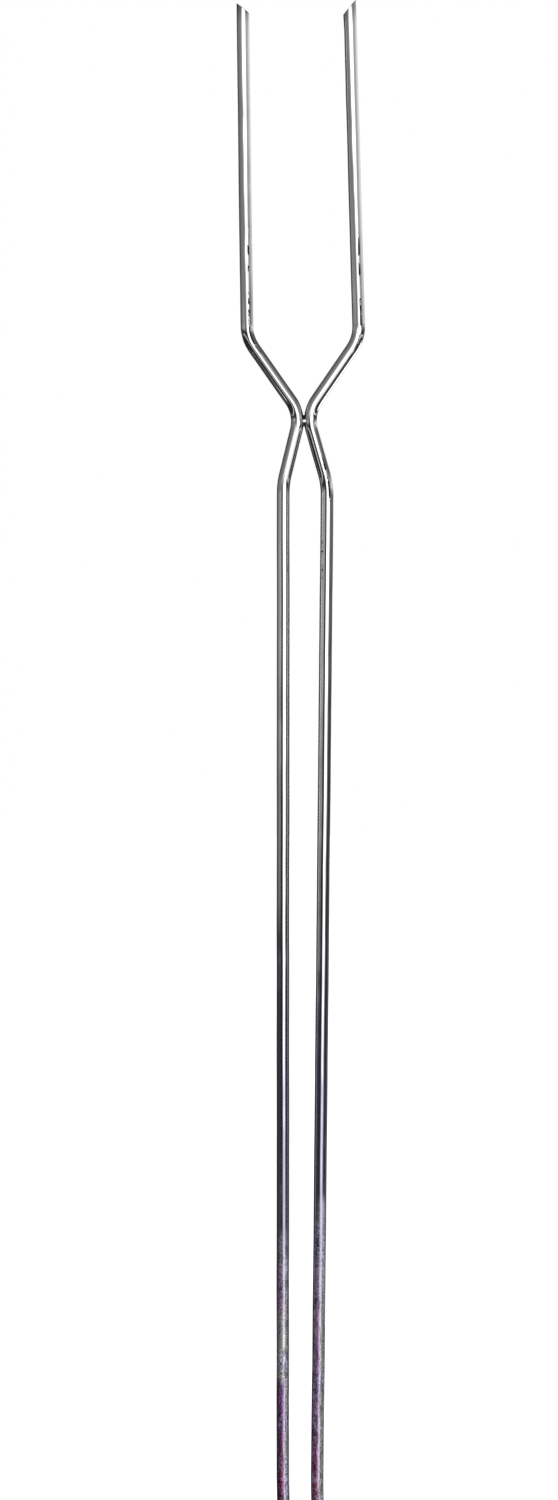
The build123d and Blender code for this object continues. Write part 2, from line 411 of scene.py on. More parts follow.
def add(tree, kind, inputs=None, **settings):
    """A new node with its settings, and its inputs by name or number."""
    made = tree.nodes.new("ShaderNode" + kind)
    for name, value in settings.items():
        setattr(made, name, value)
    for name, value in (inputs or {}).items():
        feed(tree, made.inputs[name], value)
    return made


def maths(tree, operation, *values):
    return add(tree, "Math", dict(enumerate(values)), operation=operation).outputs[0]


def fade(tree, value, start, end, low=0.0, high=1.0):
    """Goes smoothly from low, at start, to high, at end."""
    inputs = {"Value": value, "From Min": start, "From Max": end, "To Min": low, "To Max": high}
    return add(tree, "MapRange", inputs, interpolation_type="SMOOTHSTEP").outputs[0]


def grain(tree, vector, scale, stretch=(1, 1, 1), detail=3.0, roughness=0.55, distortion=0.0):
    """Noise from 0 to 1 at a scale in bumps per metre. A stretch below 1 draws the bumps out along
    that axis."""
    spread = add(tree, "VectorMath", {0: vector, 1: stretch}, operation="MULTIPLY").outputs[0]
    inputs = {"Vector": spread, "Scale": scale, "Detail": detail, "Roughness": roughness}
    inputs["Distortion"] = distortion
    return add(tree, "TexNoise", inputs).outputs[0]


def tint(tree, factor, first, second):
    """One colour going to another as factor goes from 0 to 1."""
    made = add(tree, "Mix", data_type="RGBA")
    feed(tree, made.inputs[0], factor)
    feed(tree, made.inputs[6], first)
    feed(tree, made.inputs[7], second)
    return made.outputs[2]


def relief(tree, height, depth, normal=None):
    """Raises the surface by up to depth metres where height goes from 0 to 1."""
    inputs = {"Height": height, "Distance": depth, "Strength": 1.0}
    if normal:
        inputs["Normal"] = normal
    return add(tree, "Bump", inputs).outputs[0]


def new_material(name):
    material = bpy.data.materials.new(name)
    material.use_nodes = True
    material.node_tree.nodes.clear()
    return material, material.node_tree


def output(tree, shader):
    add(tree, "OutputMaterial", {"Surface": shader})


def surface(tree, inputs):
    """The finished surface: a principled shader with these inputs."""
    output(tree, add(tree, "BsdfPrincipled", inputs).outputs[0])


def laid_out(tree):
    """The place on a wire laid out straight: its section in X and Y, its length in Z."""
    return add(tree, "Attribute", attribute_name="straight").outputs["Vector"]


def rest_place(tree):
    """The place in the fork's own frame, which follows the piece when its body moves."""
    return add(tree, "TexCoord").outputs["Object"]


def split_axes(tree, vector):
    return add(tree, "SeparateXYZ", {0: vector}).outputs


# ---------------------------------------------------------------------------------------------
# Materials
# ---------------------------------------------------------------------------------------------

BRIGHT_STEEL = (0.93, 0.93, 0.94)
COOL_STEEL = (0.77, 0.77, 0.96)
DULL_STEEL = (0.73, 0.73, 0.75)
# Near-black for soot and oxide, also used for painted shade at the weld and neck and for painted dark
# reflection streaks
DARK_OXIDE_AND_SHADE = (0.05, 0.035, 0.03)
HEAT_MAUVE = (0.64, 0.49, 0.70)
HEAT_VIOLET = (0.48, 0.19, 0.58)
HEAT_BLUE = (0.16, 0.17, 0.40)
HEAT_BROWN = (0.38, 0.08, 0.12)

# Heights in metres where the wires' looks change, each from where it starts to where it is full
COOL_Z = (0.34, 0.27)
HEAT_Z = (0.248, 0.212)
DEEP_VIOLET_Z = (0.200, 0.197)
LOW_VIOLET_Z = (0.190, 0.178)
BROWN_Z = (0.196, 0.174)
SCORCH_Z = (TIP_Z - 6 * MM, TIP_Z - 0.5 * MM)

# Bands along the wires, as the heights where each starts, is full from and to, and ends, in metres
BARE_BAND = (0.200, 0.203, 0.216, 0.220)
SPECKLED_BAND = (0.401, 0.404, 0.409, 0.412)
LINED_NECK = (0.420, 0.423, 0.431, 0.434)
LINED_TINES = (0.455, 0.462, 0.484, 0.492)
# Band of painted shade on the sides of the wires that face each other below the weld
NECK_SHADE_BAND = (WELD_Z - 19 * MM, WELD_Z - 13 * MM, WELD_Z - 3 * MM, WELD_Z - MM)
WELD_CROWN = (WELD_Z - 0.45 * MM, WELD_Z - 0.3 * MM, WELD_Z + 0.15 * MM, WELD_Z + 0.3 * MM)


def centred(tree, value, reach):
    """Noise from 0 to 1 turned into an offset of at most half of reach either way."""
    return maths(tree, "MULTIPLY_ADD", value, reach, -reach / 2)


def product(tree, *values):
    """All the values multiplied together."""
    total = values[0]
    for value in values[1:]:
        total = maths(tree, "MULTIPLY", total, value)
    return total


def window(tree, value, start, full_from, full_to, end):
    """Rises smoothly from 0 at start to 1, stays there, and falls to 0 again at end."""
    return product(tree, fade(tree, value, start, full_from), fade(tree, value, end, full_to))


def weld_oxide_and_shade(tree, x, z):
    """Heat oxide and painted shade in the crease by the weld: 1 on the sides of the wires that face the
    weld, 0 a few millimetres away.
    """
    away = maths(tree, "ABSOLUTE", maths(tree, "SUBTRACT", z, WELD_Z))
    beside = maths(tree, "ABSOLUTE", maths(tree, "SUBTRACT", x, WELD_X))
    return product(tree, fade(tree, away, 6 * MM, 1.5 * MM), fade(tree, beside, 0.9 * MM, 0.3 * MM))


def neck_painted_shade(tree, facing, x, z):
    """Painted shade: 1 on the sides of the two wires that face each other between the weld and the elbows,
    darkened as if shaded by each other.
    """
    side = fade(tree, x, WELD_X - 0.02 * MM, WELD_X + 0.02 * MM, 1.0, -1.0)
    inward = product(tree, facing, side)
    return product(tree, fade(tree, inward, 0.3, 0.62), window(tree, z, *NECK_SHADE_BAND))


def dark_specks(tree, along, facing, x, z):
    """Dark marks: a few specks at the right elbow, and broken dashes on the neck and the tines on the sides
    that face a little to the right.
    """
    right = fade(tree, x, 0, MM)
    dots = grain(tree, along, 1000, (1, 1, 0.5), detail=2)
    patch = product(tree, window(tree, z, *SPECKLED_BAND), right)
    strewn = product(tree, fade(tree, dots, 0.5, 0.54), patch, fade(tree, facing, -0.5, -0.62))
    dashes = fade(tree, grain(tree, along, 700, (1, 1, 0.45), detail=3), 0.49, 0.52)
    tines = window(tree, z, *LINED_TINES)
    neck = product(tree, window(tree, z, *LINED_NECK), right)
    edge = window(tree, facing, 0.16, 0.26, 0.46, 0.58)
    lined = product(tree, dashes, edge, maths(tree, "MAXIMUM", tines, neck))
    return maths(tree, "MAXIMUM", strewn, lined)


def heat_tint(tree, mottle, patches, left, z):
    """Colour of the oxide that heat leaves: mauve, violet and blue in specks, and red-brown lowest."""
    deep = product(tree, left, fade(tree, z, *DEEP_VIOLET_Z, 0.0, 0.07))
    lowest = fade(tree, z, *LOW_VIOLET_Z, 0.0, 0.04)
    spread = maths(tree, "ADD", maths(tree, "ADD", mottle, deep), lowest)
    hue = tint(tree, fade(tree, spread, 0.44, 0.54), HEAT_MAUVE, HEAT_VIOLET)
    bluish = product(tree, fade(tree, patches, 0.5, 0.44), fade(tree, mottle, 0.46, 0.56))
    hue = tint(tree, bluish, hue, HEAT_BLUE)
    ragged_z = maths(tree, "ADD", z, centred(tree, patches, 20 * MM))
    brown = product(tree, fade(tree, ragged_z, *BROWN_Z), fade(tree, mottle, 0.44, 0.54))
    return tint(tree, brown, hue, HEAT_BROWN)


def heated_steel(tree, along, facing, x, z, mottle, patches, heated):
    """Colour of the bare steel, going to heat tint where it was heated, with dark oxide specks and dark
    lengthwise streaks that are painted reflections.
    """
    left = fade(tree, x, 0, -MM)
    bare = product(tree, left, window(tree, z, *BARE_BAND))
    ragged_side = maths(tree, "ADD", facing, centred(tree, mottle, 2.0))
    stained = product(tree, heated, fade(tree, ragged_side, 0.28, 0.02), maths(tree, "SUBTRACT", 1.0, bare))
    steel = tint(tree, fade(tree, z, *COOL_Z), BRIGHT_STEEL, COOL_STEEL)
    clean = fade(tree, patches, 0.46, 0.40)
    steel = tint(tree, product(tree, heated, maths(tree, "SUBTRACT", 1.0, clean)), steel, DULL_STEEL)
    colour = tint(tree, stained, steel, heat_tint(tree, mottle, patches, left, z))
    # Painted reflection: dark lengthwise streaks stand in for the streaked reflection on the heated steel,
    # and dark mottling is oxide scale
    streaks = fade(tree, grain(tree, along, 1900, (1, 1, 0.13), detail=3, distortion=0.4), 0.53, 0.60)
    oxide_and_painted_streaks = maths(tree, "MAXIMUM", product(tree, streaks, 0.65), fade(tree, mottle, 0.54, 0.62, 0.0, 0.5))
    return tint(tree, product(tree, heated, oxide_and_painted_streaks), colour, DARK_OXIDE_AND_SHADE)


def soot_and_shade(tree, facing, x, z, specks):
    """How dark the wire is: heat oxide and painted shade round the weld, painted shade along the neck, soot
    at the point, and dark specks.
    """
    weld_oxide_and_neck_shade = product(tree, weld_oxide_and_shade(tree, x, z), 0.9)
    weld_oxide_and_neck_shade = maths(tree, "MAXIMUM", weld_oxide_and_neck_shade, product(tree, neck_painted_shade(tree, facing, x, z), 0.6))
    scorch = fade(tree, z, *SCORCH_Z, 0.0, 0.5)
    return maths(tree, "MAXIMUM", maths(tree, "MAXIMUM", weld_oxide_and_neck_shade, scorch), specks)


def bright_wire():
    """Polished drawn wire: fine lengthwise lines and faint scuffs, heat tint with painted reflection
    streaks towards the handle, heat oxide and painted shade at the weld, painted shade along the neck, and
    soot and dark specks from the elbow to the points."""
    material, tree = new_material("bright_wire")
    along = laid_out(tree)
    x, _, z = split_axes(tree, rest_place(tree))[:3]
    facing = split_axes(tree, add(tree, "NewGeometry").outputs["Normal"])[0]
    lines = grain(tree, along, 2200, (1, 1, 0.004), detail=2)
    scuffs = grain(tree, along, 900, (1, 1, 0.3), detail=5, roughness=0.7)
    mottle = grain(tree, along, 1500, (1, 1, 0.6), detail=3, roughness=0.65, distortion=0.9)
    patches = grain(tree, along, 110, (1, 1, 0.7), detail=3)
    heated = fade(tree, maths(tree, "ADD", z, centred(tree, patches, 50 * MM)), *HEAT_Z)
    specks = dark_specks(tree, along, facing, x, z)
    steel = heated_steel(tree, along, facing, x, z, mottle, patches, heated)
    dulled = product(tree, heated, fade(tree, patches, 0.40, 0.6, 0.03, 0.16))
    dulled = maths(tree, "MAXIMUM", dulled, product(tree, specks, 0.4))
    shape = relief(tree, lines, 0.0015 * MM)
    shape = relief(tree, product(tree, mottle, heated), 0.04 * MM, shape)
    surface(tree, {
        # Soot at the points, oxide and painted shade at the weld, and painted shade along the neck darken
        # the steel here
        "Base Color": tint(tree, soot_and_shade(tree, facing, x, z, specks), steel, DARK_OXIDE_AND_SHADE),
        "Metallic": 1.0,
        "Roughness": maths(tree, "ADD", maths(tree, "MULTIPLY_ADD", scuffs, 0.06, 0.02), dulled),
        "Normal": relief(tree, specks, 0.04 * MM, shape),
    })
    return material


def weld_steel():
    """A small bead of once-molten steel: a bright crown, and dark oxide with painted shade above and below
    it.
    """
    material, tree = new_material("weld_steel")
    place = rest_place(tree)
    z = split_axes(tree, place)[2]
    scale = grain(tree, place, 2600, detail=4)
    crown = window(tree, z, *WELD_CROWN)
    surface(tree, {
        # Dark above and below the crown is oxide and painted shade, leaving a bright dot where the
        # highlight falls
        "Base Color": tint(tree, crown, DARK_OXIDE_AND_SHADE, BRIGHT_STEEL),
        "Metallic": 1.0,
        "Roughness": maths(tree, "MULTIPLY_ADD", scale, 0.15, 0.04),
        "Normal": relief(tree, scale, 0.01 * MM),
    })
    return material


WOOD_PALE = (0.46, 0.245, 0.10)
WOOD_DARK = (0.245, 0.11, 0.04)
WOOD_PORE = (0.09, 0.035, 0.012)
WOOD_CHAR = (0.02, 0.009, 0.004)

# The tree's pith lies to the left of the handle and leans away from it, and the rings spread from it
PITH_DISTANCE = 19 * MM
PITH_LEAN = 0.09
RINGS_PER_METRE = 480
GROOVE_CHAR = (1.1 * MM, 0.45 * MM)
GRIME_HEIGHT = 6 * MM


def turned_wood():
    """Lacquered beech: growth rings cut by the turning, short dark pores, and burnt grooves."""
    material, tree = new_material("turned_wood")
    place = rest_place(tree)
    x, y, z = split_axes(tree, place)[:3]
    sway = grain(tree, place, 25, (1, 1, 0.25), detail=2)
    leaning = maths(tree, "MULTIPLY_ADD", z, PITH_LEAN, PITH_DISTANCE)
    ring_x = maths(tree, "ADD", maths(tree, "ADD", x, leaning), product(tree, sway, 6 * MM))
    ring_y = maths(tree, "ADD", y, product(tree, sway, 4 * MM))
    squares = maths(tree, "ADD", product(tree, ring_x, ring_x), product(tree, ring_y, ring_y))
    ring = maths(tree, "FRACT", product(tree, maths(tree, "SQRT", squares), RINGS_PER_METRE))
    late = product(tree, fade(tree, ring, 0.35, 0.93), fade(tree, ring, 1.0, 0.955))
    fibre = grain(tree, place, 2400, (1, 1, 0.03), detail=4, roughness=0.65)
    pores = fade(tree, grain(tree, place, 2000, (1, 1, 0.09), detail=1), 0.64, 0.72)
    cloud = grain(tree, place, 40, (1, 1, 0.4), detail=3)
    depth = maths(tree, "ADD", product(tree, late, 0.55), product(tree, fibre, 0.45))
    colour = tint(tree, depth, WOOD_PALE, WOOD_DARK)
    colour = tint(tree, fade(tree, cloud, 0.35, 0.7, 0.0, 0.45), colour, WOOD_DARK)
    colour = tint(tree, product(tree, pores, 0.75), colour, WOOD_PORE)
    for groove in GROOVE_HEIGHTS:
        away = maths(tree, "ABSOLUTE", maths(tree, "SUBTRACT", z, BUTT_Z + groove))
        uneven = product(tree, maths(tree, "SUBTRACT", fibre, 0.5), 0.9 * MM)
        colour = tint(tree, fade(tree, maths(tree, "ADD", away, uneven), *GROOVE_CHAR), colour, WOOD_CHAR)
    grime = fade(tree, z, FERRULE_LOW.z - GRIME_HEIGHT, FERRULE_LOW.z, 0.0, 0.6)
    colour = tint(tree, product(tree, grime, cloud), colour, WOOD_PORE)
    shape = relief(tree, fibre, 0.03 * MM)
    shape = relief(tree, maths(tree, "SUBTRACT", 1.0, pores), 0.05 * MM, shape)
    surface(tree, {
        "Base Color": colour,
        "Roughness": maths(tree, "MULTIPLY_ADD", fibre, 0.22, 0.34),
        "Normal": shape,
        "Coat Weight": 0.6,
        "Coat Roughness": maths(tree, "MULTIPLY_ADD", cloud, 0.25, 0.12),
    })
    return material


PLATE = (0.78, 0.76, 0.71)
PLATE_WORN = (0.50, 0.47, 0.42)
PLATE_GRIME = (0.12, 0.09, 0.06)
PLATE_GRIME_HEIGHT = 1.6 * MM


def plated_steel():
    """Nickel-plated ferrule: spun lines round it, dull patches of wear, and grime at its mouth."""
    material, tree = new_material("plated_steel")
    place = rest_place(tree)
    z = split_axes(tree, place)[2]
    spun = grain(tree, place, 3000, (0.04, 0.04, 1), detail=3)
    wear = grain(tree, place, 260, detail=5, roughness=0.65)
    colour = tint(tree, fade(tree, wear, 0.42, 0.7), PLATE, PLATE_WORN)
    low = fade(tree, z, FERRULE_LOW.z + PLATE_GRIME_HEIGHT, FERRULE_LOW.z, 0.0, 0.7)
    surface(tree, {
        "Base Color": tint(tree, product(tree, low, wear), colour, PLATE_GRIME),
        "Metallic": 1.0,
        "Roughness": maths(tree, "ADD", product(tree, wear, 0.28), product(tree, spun, 0.12)),
        "Normal": relief(tree, spun, 0.006 * MM),
    })
    return material


BRASS = (0.76, 0.53, 0.24)
BRASS_TARNISH = (0.33, 0.19, 0.08)


def aged_brass():
    """Brass with brown tarnish in patches and fine rubbed scratches."""
    material, tree = new_material("aged_brass")
    place = rest_place(tree)
    patches = grain(tree, place, 700, detail=5, roughness=0.6)
    rubbed = grain(tree, place, 5200, (1, 1, 0.12), detail=3)
    surface(tree, {
        "Base Color": tint(tree, fade(tree, patches, 0.4, 0.72), BRASS, BRASS_TARNISH),
        "Metallic": 1.0,
        "Roughness": maths(tree, "MULTIPLY_ADD", patches, 0.35, 0.12),
        "Normal": relief(tree, rubbed, 0.008 * MM),
    })
    return material


BAIL_BRIGHT = (0.86, 0.86, 0.87)
BAIL_WORN = (0.55, 0.53, 0.50)


def bail_steel():
    """Bright wire of the bail, dulled in patches by handling."""
    material, tree = new_material("bail_steel")
    along = laid_out(tree)
    lines = grain(tree, along, 2600, (1, 1, 0.02), detail=2)
    wear = grain(tree, along, 300, (1, 1, 0.4), detail=5, roughness=0.7)
    surface(tree, {
        "Base Color": tint(tree, fade(tree, wear, 0.45, 0.75), BAIL_BRIGHT, BAIL_WORN),
        "Metallic": 1.0,
        "Roughness": maths(tree, "MULTIPLY_ADD", wear, 0.3, 0.02),
        "Normal": relief(tree, lines, 0.005 * MM),
    })
    return material


# ---------------------------------------------------------------------------------------------
# Pieces
# ---------------------------------------------------------------------------------------------

def make_wire(side, material):
    """One tine wire. side is 1 for the right wire and -1 for the left."""
    name = "right" if side > 0 else "left"
    tip_rise, bevel_angle = TIPS[side]
    corners = [
        (side * COLLAR_HALF_GAP, WIRE_LOW.z),
        (side * COLLAR_HALF_GAP, FERRULE_HIGH.z + COLLAR_ABOVE_FERRULE),
        (SHAFT_DRIFT + side * SHAFT_HALF_GAP, TIP_Z - SHAFT_DROP),
        (ELBOW_DRIFT + side * ELBOW_HALF_GAP, TIP_Z - ELBOW_DROP),
        (NECK_DRIFT + side * NECK_HALF_GAP, TIP_Z - NECK_DROP),
        (SHOULDER_DRIFT + side * SHOULDER_HALF_GAP, TIP_Z - SHOULDER_DROP),
        (TIP_DRIFT + side * TIP_HALF_GAP, TIP_Z + tip_rise),
    ]
    radii = (COLLAR_BEND_R, SHAFT_BEND_R, ELBOW_BEND_R, NECK_BEND_R, SHOULDER_BEND_R)
    path = bent_path(corners, radii, WIRE_STEP)

    def pressed(a, b, point):
        """Flattens the part of the wire that is inside the handle."""
        flat = min(1.0, max(0.0, (TANG_TOP_Z - point.y) / TANG_BLEND))
        flat = flat * flat * (3 - 2 * flat)
        thin = WIRE_R + (TANG_THICKNESS / 2 - WIRE_R) * flat
        wide = WIRE_R + (TANG_WIDTH / 2 - WIRE_R) * flat
        return a * thin / WIRE_R, b * wide / WIRE_R

    seed = 2 + side
    vertices, faces, straight = sweep_wire(path, WIRE_R, WIRE_SIDES, pressed, WIRE_WOBBLE, seed)
    bevel_tip(vertices, side)
    up = Vector((-side * math.sin(bevel_angle), 0, math.cos(bevel_angle)))
    last_ring = (len(path) - 1) * WIRE_SIDES
    close_end(vertices, faces, straight, last_ring, WIRE_SIDES, POINT_ROUNDING, up)
    close_end(vertices, faces, straight, 0, WIRE_SIDES, WIRE_END_ROUNDING, Vector((0, 0, -1)))
    piece = add_piece("tine_wire_" + name, vertices, faces, material, "fork", name + "_wire")
    store_straight(piece, straight)


def bevel_tip(vertices, side):
    """Slides the top of the wire's sides down to one slanting cut, highest on the outer side."""
    tip_rise, bevel_angle = TIPS[side]
    tip_z = TIP_Z + tip_rise
    slope = math.tan(bevel_angle)
    outer = side * TIP_DRIFT + TIP_HALF_GAP + WIRE_R
    reach = BEVEL_BLEND * WIRE_R * slope
    for vertex in vertices:
        if vertex.z > tip_z - reach:
            lost = (outer - side * vertex.x) * slope
            share = (vertex.z - (tip_z - reach)) / reach
            vertex.z -= lost * min(1.0, share)


def make_weld(material):
    """The weld nugget: a small rippled bead."""
    def ripple(point):
        return 0.03 * MM * rough_noise(point, 0.5 * MM)

    steps = 24
    profile = []
    for i in range(steps + 1):
        angle = math.pi * (i / steps - 0.5)
        radius = WELD_R * math.cos(angle) if 0 < i < steps else 0
        profile.append((radius, WELD_HALF_HEIGHT * math.sin(angle)))
    vertices, faces = lathe(profile, 48, "Z", (WELD_X, 0, WELD_Z), ripple)
    add_piece("weld_nugget", vertices, faces, material, "fork", "neck_weld")


def grip_radius(height):
    """Radius of the handle's swell at a height above its butt: a curve through four radii that is
    upright at the butt, tapers at the ferrule, and bends evenly through the waist and the belly."""
    heights = (BUTT_ROUNDING, WAIST_H, BELLY_H, FRONT_H)
    radii = (BUTT_R, WAIST_R, BELLY_R, FRONT_R)
    spans = [after - before for before, after in zip(heights, heights[1:])]
    pull = [3 * (after - before) / span ** 2 for before, after, span in zip(radii, radii[1:], spans)]
    stiff = [1 / span for span in spans]
    even = Matrix((
        (2 * (stiff[0] + stiff[1]), stiff[1]),
        (stiff[1], 2 * (stiff[1] + stiff[2])),
    ))
    waist_slope, belly_slope = even.inverted() @ Vector((
        pull[0] + pull[1],
        pull[1] + pull[2] + FRONT_TAPER * stiff[2],
    ))
    slopes = (0.0, waist_slope, belly_slope, -FRONT_TAPER)
    for i, span in enumerate(spans):
        if height <= heights[i + 1]:
            t = (height - heights[i]) / span
            level = (1 + 2 * t) * (1 - t) ** 2 * radii[i] + t * t * (3 - 2 * t) * radii[i + 1]
            lean = t * (1 - t) ** 2 * slopes[i] + t * t * (t - 1) * slopes[i + 1]
            return level + span * lean
    return FRONT_R


def grip_profile():
    """(radius, height) points of the turned handle, from the butt's centre to the spigot's."""
    points = [(0, BUTT_Z)]
    points += [(share * (BUTT_R - BUTT_ROUNDING), BUTT_Z) for share in (0.25, 0.5, 0.75)]
    points += arc((BUTT_R - BUTT_ROUNDING, BUTT_Z + BUTT_ROUNDING), BUTT_ROUNDING, -90, 0, 24)
    step = 0.5 * MM
    count = round((FRONT_H - BUTT_ROUNDING) / step)
    swell = []
    for i in range(1, count + 1):
        height = BUTT_ROUNDING + (FRONT_H - BUTT_ROUNDING) * i / count
        if all(abs(height - groove) > GROOVE_R for groove in GROOVE_HEIGHTS):
            swell.append((grip_radius(height), BUTT_Z + height))
    for groove in GROOVE_HEIGHTS:
        swell += arc((grip_radius(groove), BUTT_Z + groove), GROOVE_R, 270, 90, 12)
    points += sorted(swell, key=lambda point: point[1])
    top = GRIP_HIGH.z
    points += [(SPIGOT_R, FERRULE_LOW.z), (SPIGOT_R, (FERRULE_LOW.z + top) / 2)]
    points += [(SPIGOT_R, top - SPIGOT_CHAMFER), (SPIGOT_R - SPIGOT_CHAMFER, top), (0, top)]
    return points


def make_grip(material):
    """The wooden handle, with its bores, spot faces, seats for the sleeve's flares, and small dents.
    The sleeve itself runs through solid wood, out of sight."""
    def handled(point):
        """A few shallow dents, and faint long ripples."""
        dents = max(0.0, rough_noise(point, 7 * MM) - 0.45) * -0.35 * MM
        return dents + 0.02 * MM * rough_noise((point[0], point[1], point[2] * 0.1), 2 * MM)

    vertices, faces = lathe(grip_profile(), 160, "Z", dent=handled)
    piece = add_piece("wooden_grip", vertices, faces, material, "fork", "handle_grip")
    cutters = []
    for side in (1, -1):
        bore = (side * COLLAR_HALF_GAP, 0, 0)
        cutters.append(rod(BORE_R, GRIP_HIGH.z - BORE_DEPTH, GRIP_HIGH.z + MM, "Z", bore))
        for height in RIVET_HEIGHTS:
            start, end = sorted((side * SPOT_FACE_X, side * 2 * BELLY_R))
            cutters.append(rod(SPOT_FACE_R, start, end, "X", (0, 0, height)))
        start, end = sorted((side * (SLEEVE_END_X - FLARE_THICKNESS), side * 2 * BELLY_R))
        cutters.append(rod(FLARE_R, start, end, "X", (0, 0, PIVOT_Z)))
    cut(piece, cutters)


def make_ferrule(material):
    """The ferrule: a spun cup with a rounded nose and a raised ring, slightly dented."""
    def dented(point):
        return 0.03 * MM * rough_noise(point, 5 * MM)

    mouth, top = FERRULE_LOW.z, FERRULE_HIGH.z
    lip = FERRULE_LIP_R
    ring_z = mouth + RING_ABOVE_MOUTH
    outside = arc((FERRULE_R - lip, mouth + lip), lip, -90, 0, 6)
    outside += [(FERRULE_R, ring_z - RING_R * 1.5)]
    outside += arc((FERRULE_R, ring_z), RING_R, -90, 90, 12)
    flat_start, flat_end = ring_z + RING_R * 1.5, top - FERRULE_NOSE_R
    outside += [(FERRULE_R, flat_start + (flat_end - flat_start) * i / 24) for i in range(25)]
    outside += arc((FERRULE_R - FERRULE_NOSE_R, top - FERRULE_NOSE_R), FERRULE_NOSE_R, 0, 90, 16)[1:]
    outside += [(share * (FERRULE_R - FERRULE_NOSE_R), top) for share in (0.75, 0.5, 0.25)]
    outside += [(0, top)]
    inner_r, inner_top = FERRULE_R - FERRULE_WALL, top - FERRULE_WALL
    inner_nose = FERRULE_NOSE_R - FERRULE_WALL
    inside = [(0, inner_top)]
    inside += arc((inner_r - inner_nose, inner_top - inner_nose), inner_nose, 90, 0, 8)
    inside += [(inner_r, mouth + lip), (inner_r + lip / 2, mouth)]
    outer_vertices, outer_faces = lathe(outside, FERRULE_SEGMENTS, dent=dented)
    inner_vertices, inner_faces = lathe(inside, FERRULE_SEGMENTS)
    base = len(outer_vertices)
    vertices = outer_vertices + inner_vertices
    faces = outer_faces + [tuple(base + i for i in face) for face in inner_faces]
    rim = len(vertices) - FERRULE_SEGMENTS
    for i in range(FERRULE_SEGMENTS):
        after = (i + 1) % FERRULE_SEGMENTS
        faces.append((i, after, rim + after, rim + i))
    piece = add_piece("ferrule_cup", vertices, faces, material, "fork", "ferrule")
    start, end = top - 2 * FERRULE_NOSE_R, top + MM
    cut(piece, [rod(WIRE_HOLE_R, start, end, "Z", (side * COLLAR_HALF_GAP, 0, 0)) for side in (1, -1)])


def dome(radius, height, rounding, steps=12):
    """(radius, height) points over a low domed head, from its rim to its centre."""
    points = [(radius, 0)]
    points += arc((radius - rounding, height - rounding), rounding, 0, 90, steps)
    return points + [(0, height)]


def make_rivets(material):
    """Two rivets through the handle, each with a peened head at both ends."""
    seat = WASHER_HIGH.x
    head = dome(RIVET_HEAD_R, RIVET_HEAD_HEIGHT, RIVET_HEAD_ROUNDING)
    top = [(radius, seat + height) for radius, height in head]
    bottom = [(radius, -height) for radius, height in top[::-1]]
    profile = bottom + [(RIVET_R, -seat), (RIVET_R, seat)] + top
    for number, height in enumerate(RIVET_HEIGHTS, 1):
        def peened(point):
            return 0.05 * MM * rough_noise(point + Vector((number, 0, 0)), 0.9 * MM)

        vertices, faces = lathe(profile, 48, "X", (0, 0, height), peened)
        add_piece(f"rivet_{number}", vertices, faces, material, "fork", "tang_rivets")


def make_washers(material):
    """Four washers under the rivet heads."""
    edge, hole = WASHER_EDGE_R, WASHER_HOLE_R
    low, high = SPOT_FACE_X, SPOT_FACE_X + WASHER_THICKNESS
    outline = [(hole, low), (WASHER_R - edge, low), (WASHER_R, low + edge), (WASHER_R, high - edge)]
    outline += arc((WASHER_R - edge, high - edge), edge, 0, 90, 4)[1:]
    outline += [(hole, high), (hole, low)]
    for side in (1, -1):
        for number, height in enumerate(RIVET_HEIGHTS, 1):
            profile = [(radius, side * x) for radius, x in outline]
            vertices, faces = lathe(profile, 64, "X", (0, 0, height))
            name = f"washer_{'right' if side > 0 else 'left'}_{number}"
            add_piece(name, vertices, faces, material, "fork", "rivet_washers")


def make_brads(material):
    """Two brads that pin the ferrule, front and back."""
    head = dome(BRAD_HEAD_R, BRAD_HEAD_HEIGHT, BRAD_HEAD_ROUNDING, 8)
    shank_end = SPIGOT_R - BRAD_DEPTH
    for side, name in ((-1, "front"), (1, "back")):
        profile = [(radius, side * (FERRULE_R + height)) for radius, height in head][::-1]
        profile += [(BRAD_R, side * FERRULE_R), (BRAD_R, side * shank_end)]
        profile += [(0, side * (shank_end - BRAD_POINT))]
        vertices, faces = lathe(profile, 40, "Y", (0, 0, BRAD_Z))
        add_piece("ferrule_brad_" + name, vertices, faces, material, "fork", "ferrule_brads")


def make_sleeve(material):
    """The brass sleeve that the bail turns in, flared at both ends."""
    edge = FLARE_EDGE_R
    flare = SLEEVE_END_X - FLARE_THICKNESS
    half = [(SLEEVE_R, 0), (SLEEVE_R, flare), (FLARE_R, flare)]
    half += arc((FLARE_R - edge, SLEEVE_END_X - edge), edge, 0, 90, 4)
    half += arc((SLEEVE_BORE_R + edge, SLEEVE_END_X - edge), edge, 90, 180, 4)
    back = [(radius, -x) for radius, x in half[1:]][::-1]
    profile = half + back + [half[0]]
    vertices, faces = lathe(profile, 48, "X", (0, 0, PIVOT_Z))
    add_piece("sleeve_tube", vertices, faces, material, "fork", "bail_sleeve")


